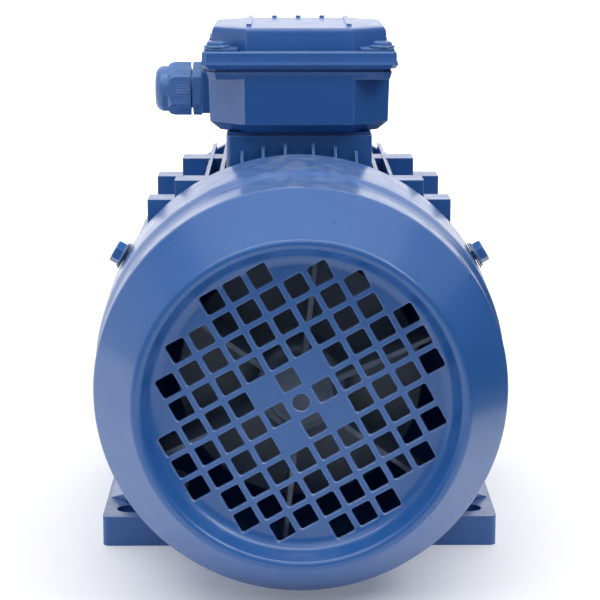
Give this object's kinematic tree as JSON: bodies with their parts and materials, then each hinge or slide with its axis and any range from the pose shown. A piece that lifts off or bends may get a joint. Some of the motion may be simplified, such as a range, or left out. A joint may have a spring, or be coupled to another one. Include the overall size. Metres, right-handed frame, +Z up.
{
  "type": "electric motor",
  "caption": "Foot-mounted, fan-cooled induction motor with a finned frame, a terminal box on top, a cable gland and a keyed output shaft.",
  "frame": {"origin": "floor level under the middle of the overall length, in the vertical plane through the shaft's axis", "axes": "+Y along the shaft towards the driven machine, +X to the right as seen from the fan cover, +Z up; the shaft's axis is 0.1 m above the origin"},
  "size_m": [0.2, 0.387, 0.2616],
  "materials": {
    "blue_casting": "satin",
    "blue_sheet": "satin",
    "blue_screw": "satin",
    "bare_steel": "satin",
    "zinc_steel": "satin",
    "core_steel": "matte",
    "cast_aluminium": "satin",
    "copper": "satin",
    "brass": "satin",
    "black_rubber": "matte",
    "grey_plastic": "matte",
    "blue_plastic": "satin",
    "board_resin": "satin",
    "plate_aluminium": "satin"
  },
  "bodies": {
    "stator": {"stator_frame": "blue_casting", "foot_left": "blue_casting", "foot_right": "blue_casting", "rear_endshield": "blue_casting", "front_endshield": "blue_casting", "terminal_box_base": "blue_casting", "terminal_box_lid": "blue_casting", "fan_cover": "blue_sheet", "cover_screw_1": "blue_screw", "cover_screw_2": "blue_screw", "cover_screw_3": "blue_screw", "cover_screw_4": "blue_screw", "foot_left_bolt_rear": "zinc_steel", "foot_left_bolt_front": "zinc_steel", "foot_right_bolt_rear": "zinc_steel", "foot_right_bolt_front": "zinc_steel", "rear_endshield_bolt_1": "zinc_steel", "rear_endshield_bolt_2": "zinc_steel", "rear_endshield_bolt_3": "zinc_steel", "rear_endshield_bolt_4": "zinc_steel", "front_endshield_bolt_1": "zinc_steel", "front_endshield_bolt_2": "zinc_steel", "front_endshield_bolt_3": "zinc_steel", "front_endshield_bolt_4": "zinc_steel", "lid_screw_1": "zinc_steel", "lid_screw_2": "zinc_steel", "lid_screw_3": "zinc_steel", "lid_screw_4": "zinc_steel", "earth_screw": "zinc_steel", "stator_core": "core_steel", "stator_winding": "copper", "rear_bearing_outer": "bare_steel", "front_bearing_outer": "bare_steel", "preload_washer": "bare_steel", "shaft_seal": "black_rubber", "box_base_gasket": "black_rubber", "box_lid_gasket": "black_rubber", "gland_seal": "black_rubber", "gland_body": "blue_plastic", "gland_nut": "blue_plastic", "gland_locknut": "blue_plastic", "terminal_board": "board_resin", "terminal_stud_link_u": "brass", "terminal_stud_link_v": "brass", "terminal_stud_link_w": "brass", "terminal_stud_supply_u": "brass", "terminal_stud_supply_v": "brass", "terminal_stud_supply_w": "brass", "terminal_link": "brass", "rating_plate": "plate_aluminium"},
    "rotor": {"shaft": "bare_steel", "rotor_core": "core_steel", "rotor_cage": "cast_aluminium", "shaft_key": "zinc_steel", "rear_bearing_inner": "bare_steel", "front_bearing_inner": "bare_steel", "cooling_fan": "grey_plastic", "fan_circlip": "bare_steel"},
    "rear_ball_set": {"rear_bearing_balls": "bare_steel"},
    "front_ball_set": {"front_bearing_balls": "bare_steel"}
  },
  "joints": [
    {"name": "rotor_spin", "type": "hinge", "parent": "stator", "child": "rotor", "pos_m": [0, 0, 0.1], "axis": [0, 1, 0], "continuous": true},
    {"name": "rear_ball_set_spin", "type": "hinge", "parent": "stator", "child": "rear_ball_set", "pos_m": [0, -0.102, 0.1], "axis": [0, 1, 0], "continuous": true},
    {"name": "front_ball_set_spin", "type": "hinge", "parent": "stator", "child": "front_ball_set", "pos_m": [0, 0.1125, 0.1], "axis": [0, 1, 0], "continuous": true}
  ],
  "couplings": [
    {"joint": "rear_ball_set_spin", "follows": "rotor_spin", "ratio": 0.4},
    {"joint": "front_ball_set_spin", "follows": "rotor_spin", "ratio": 0.4}
  ]
}
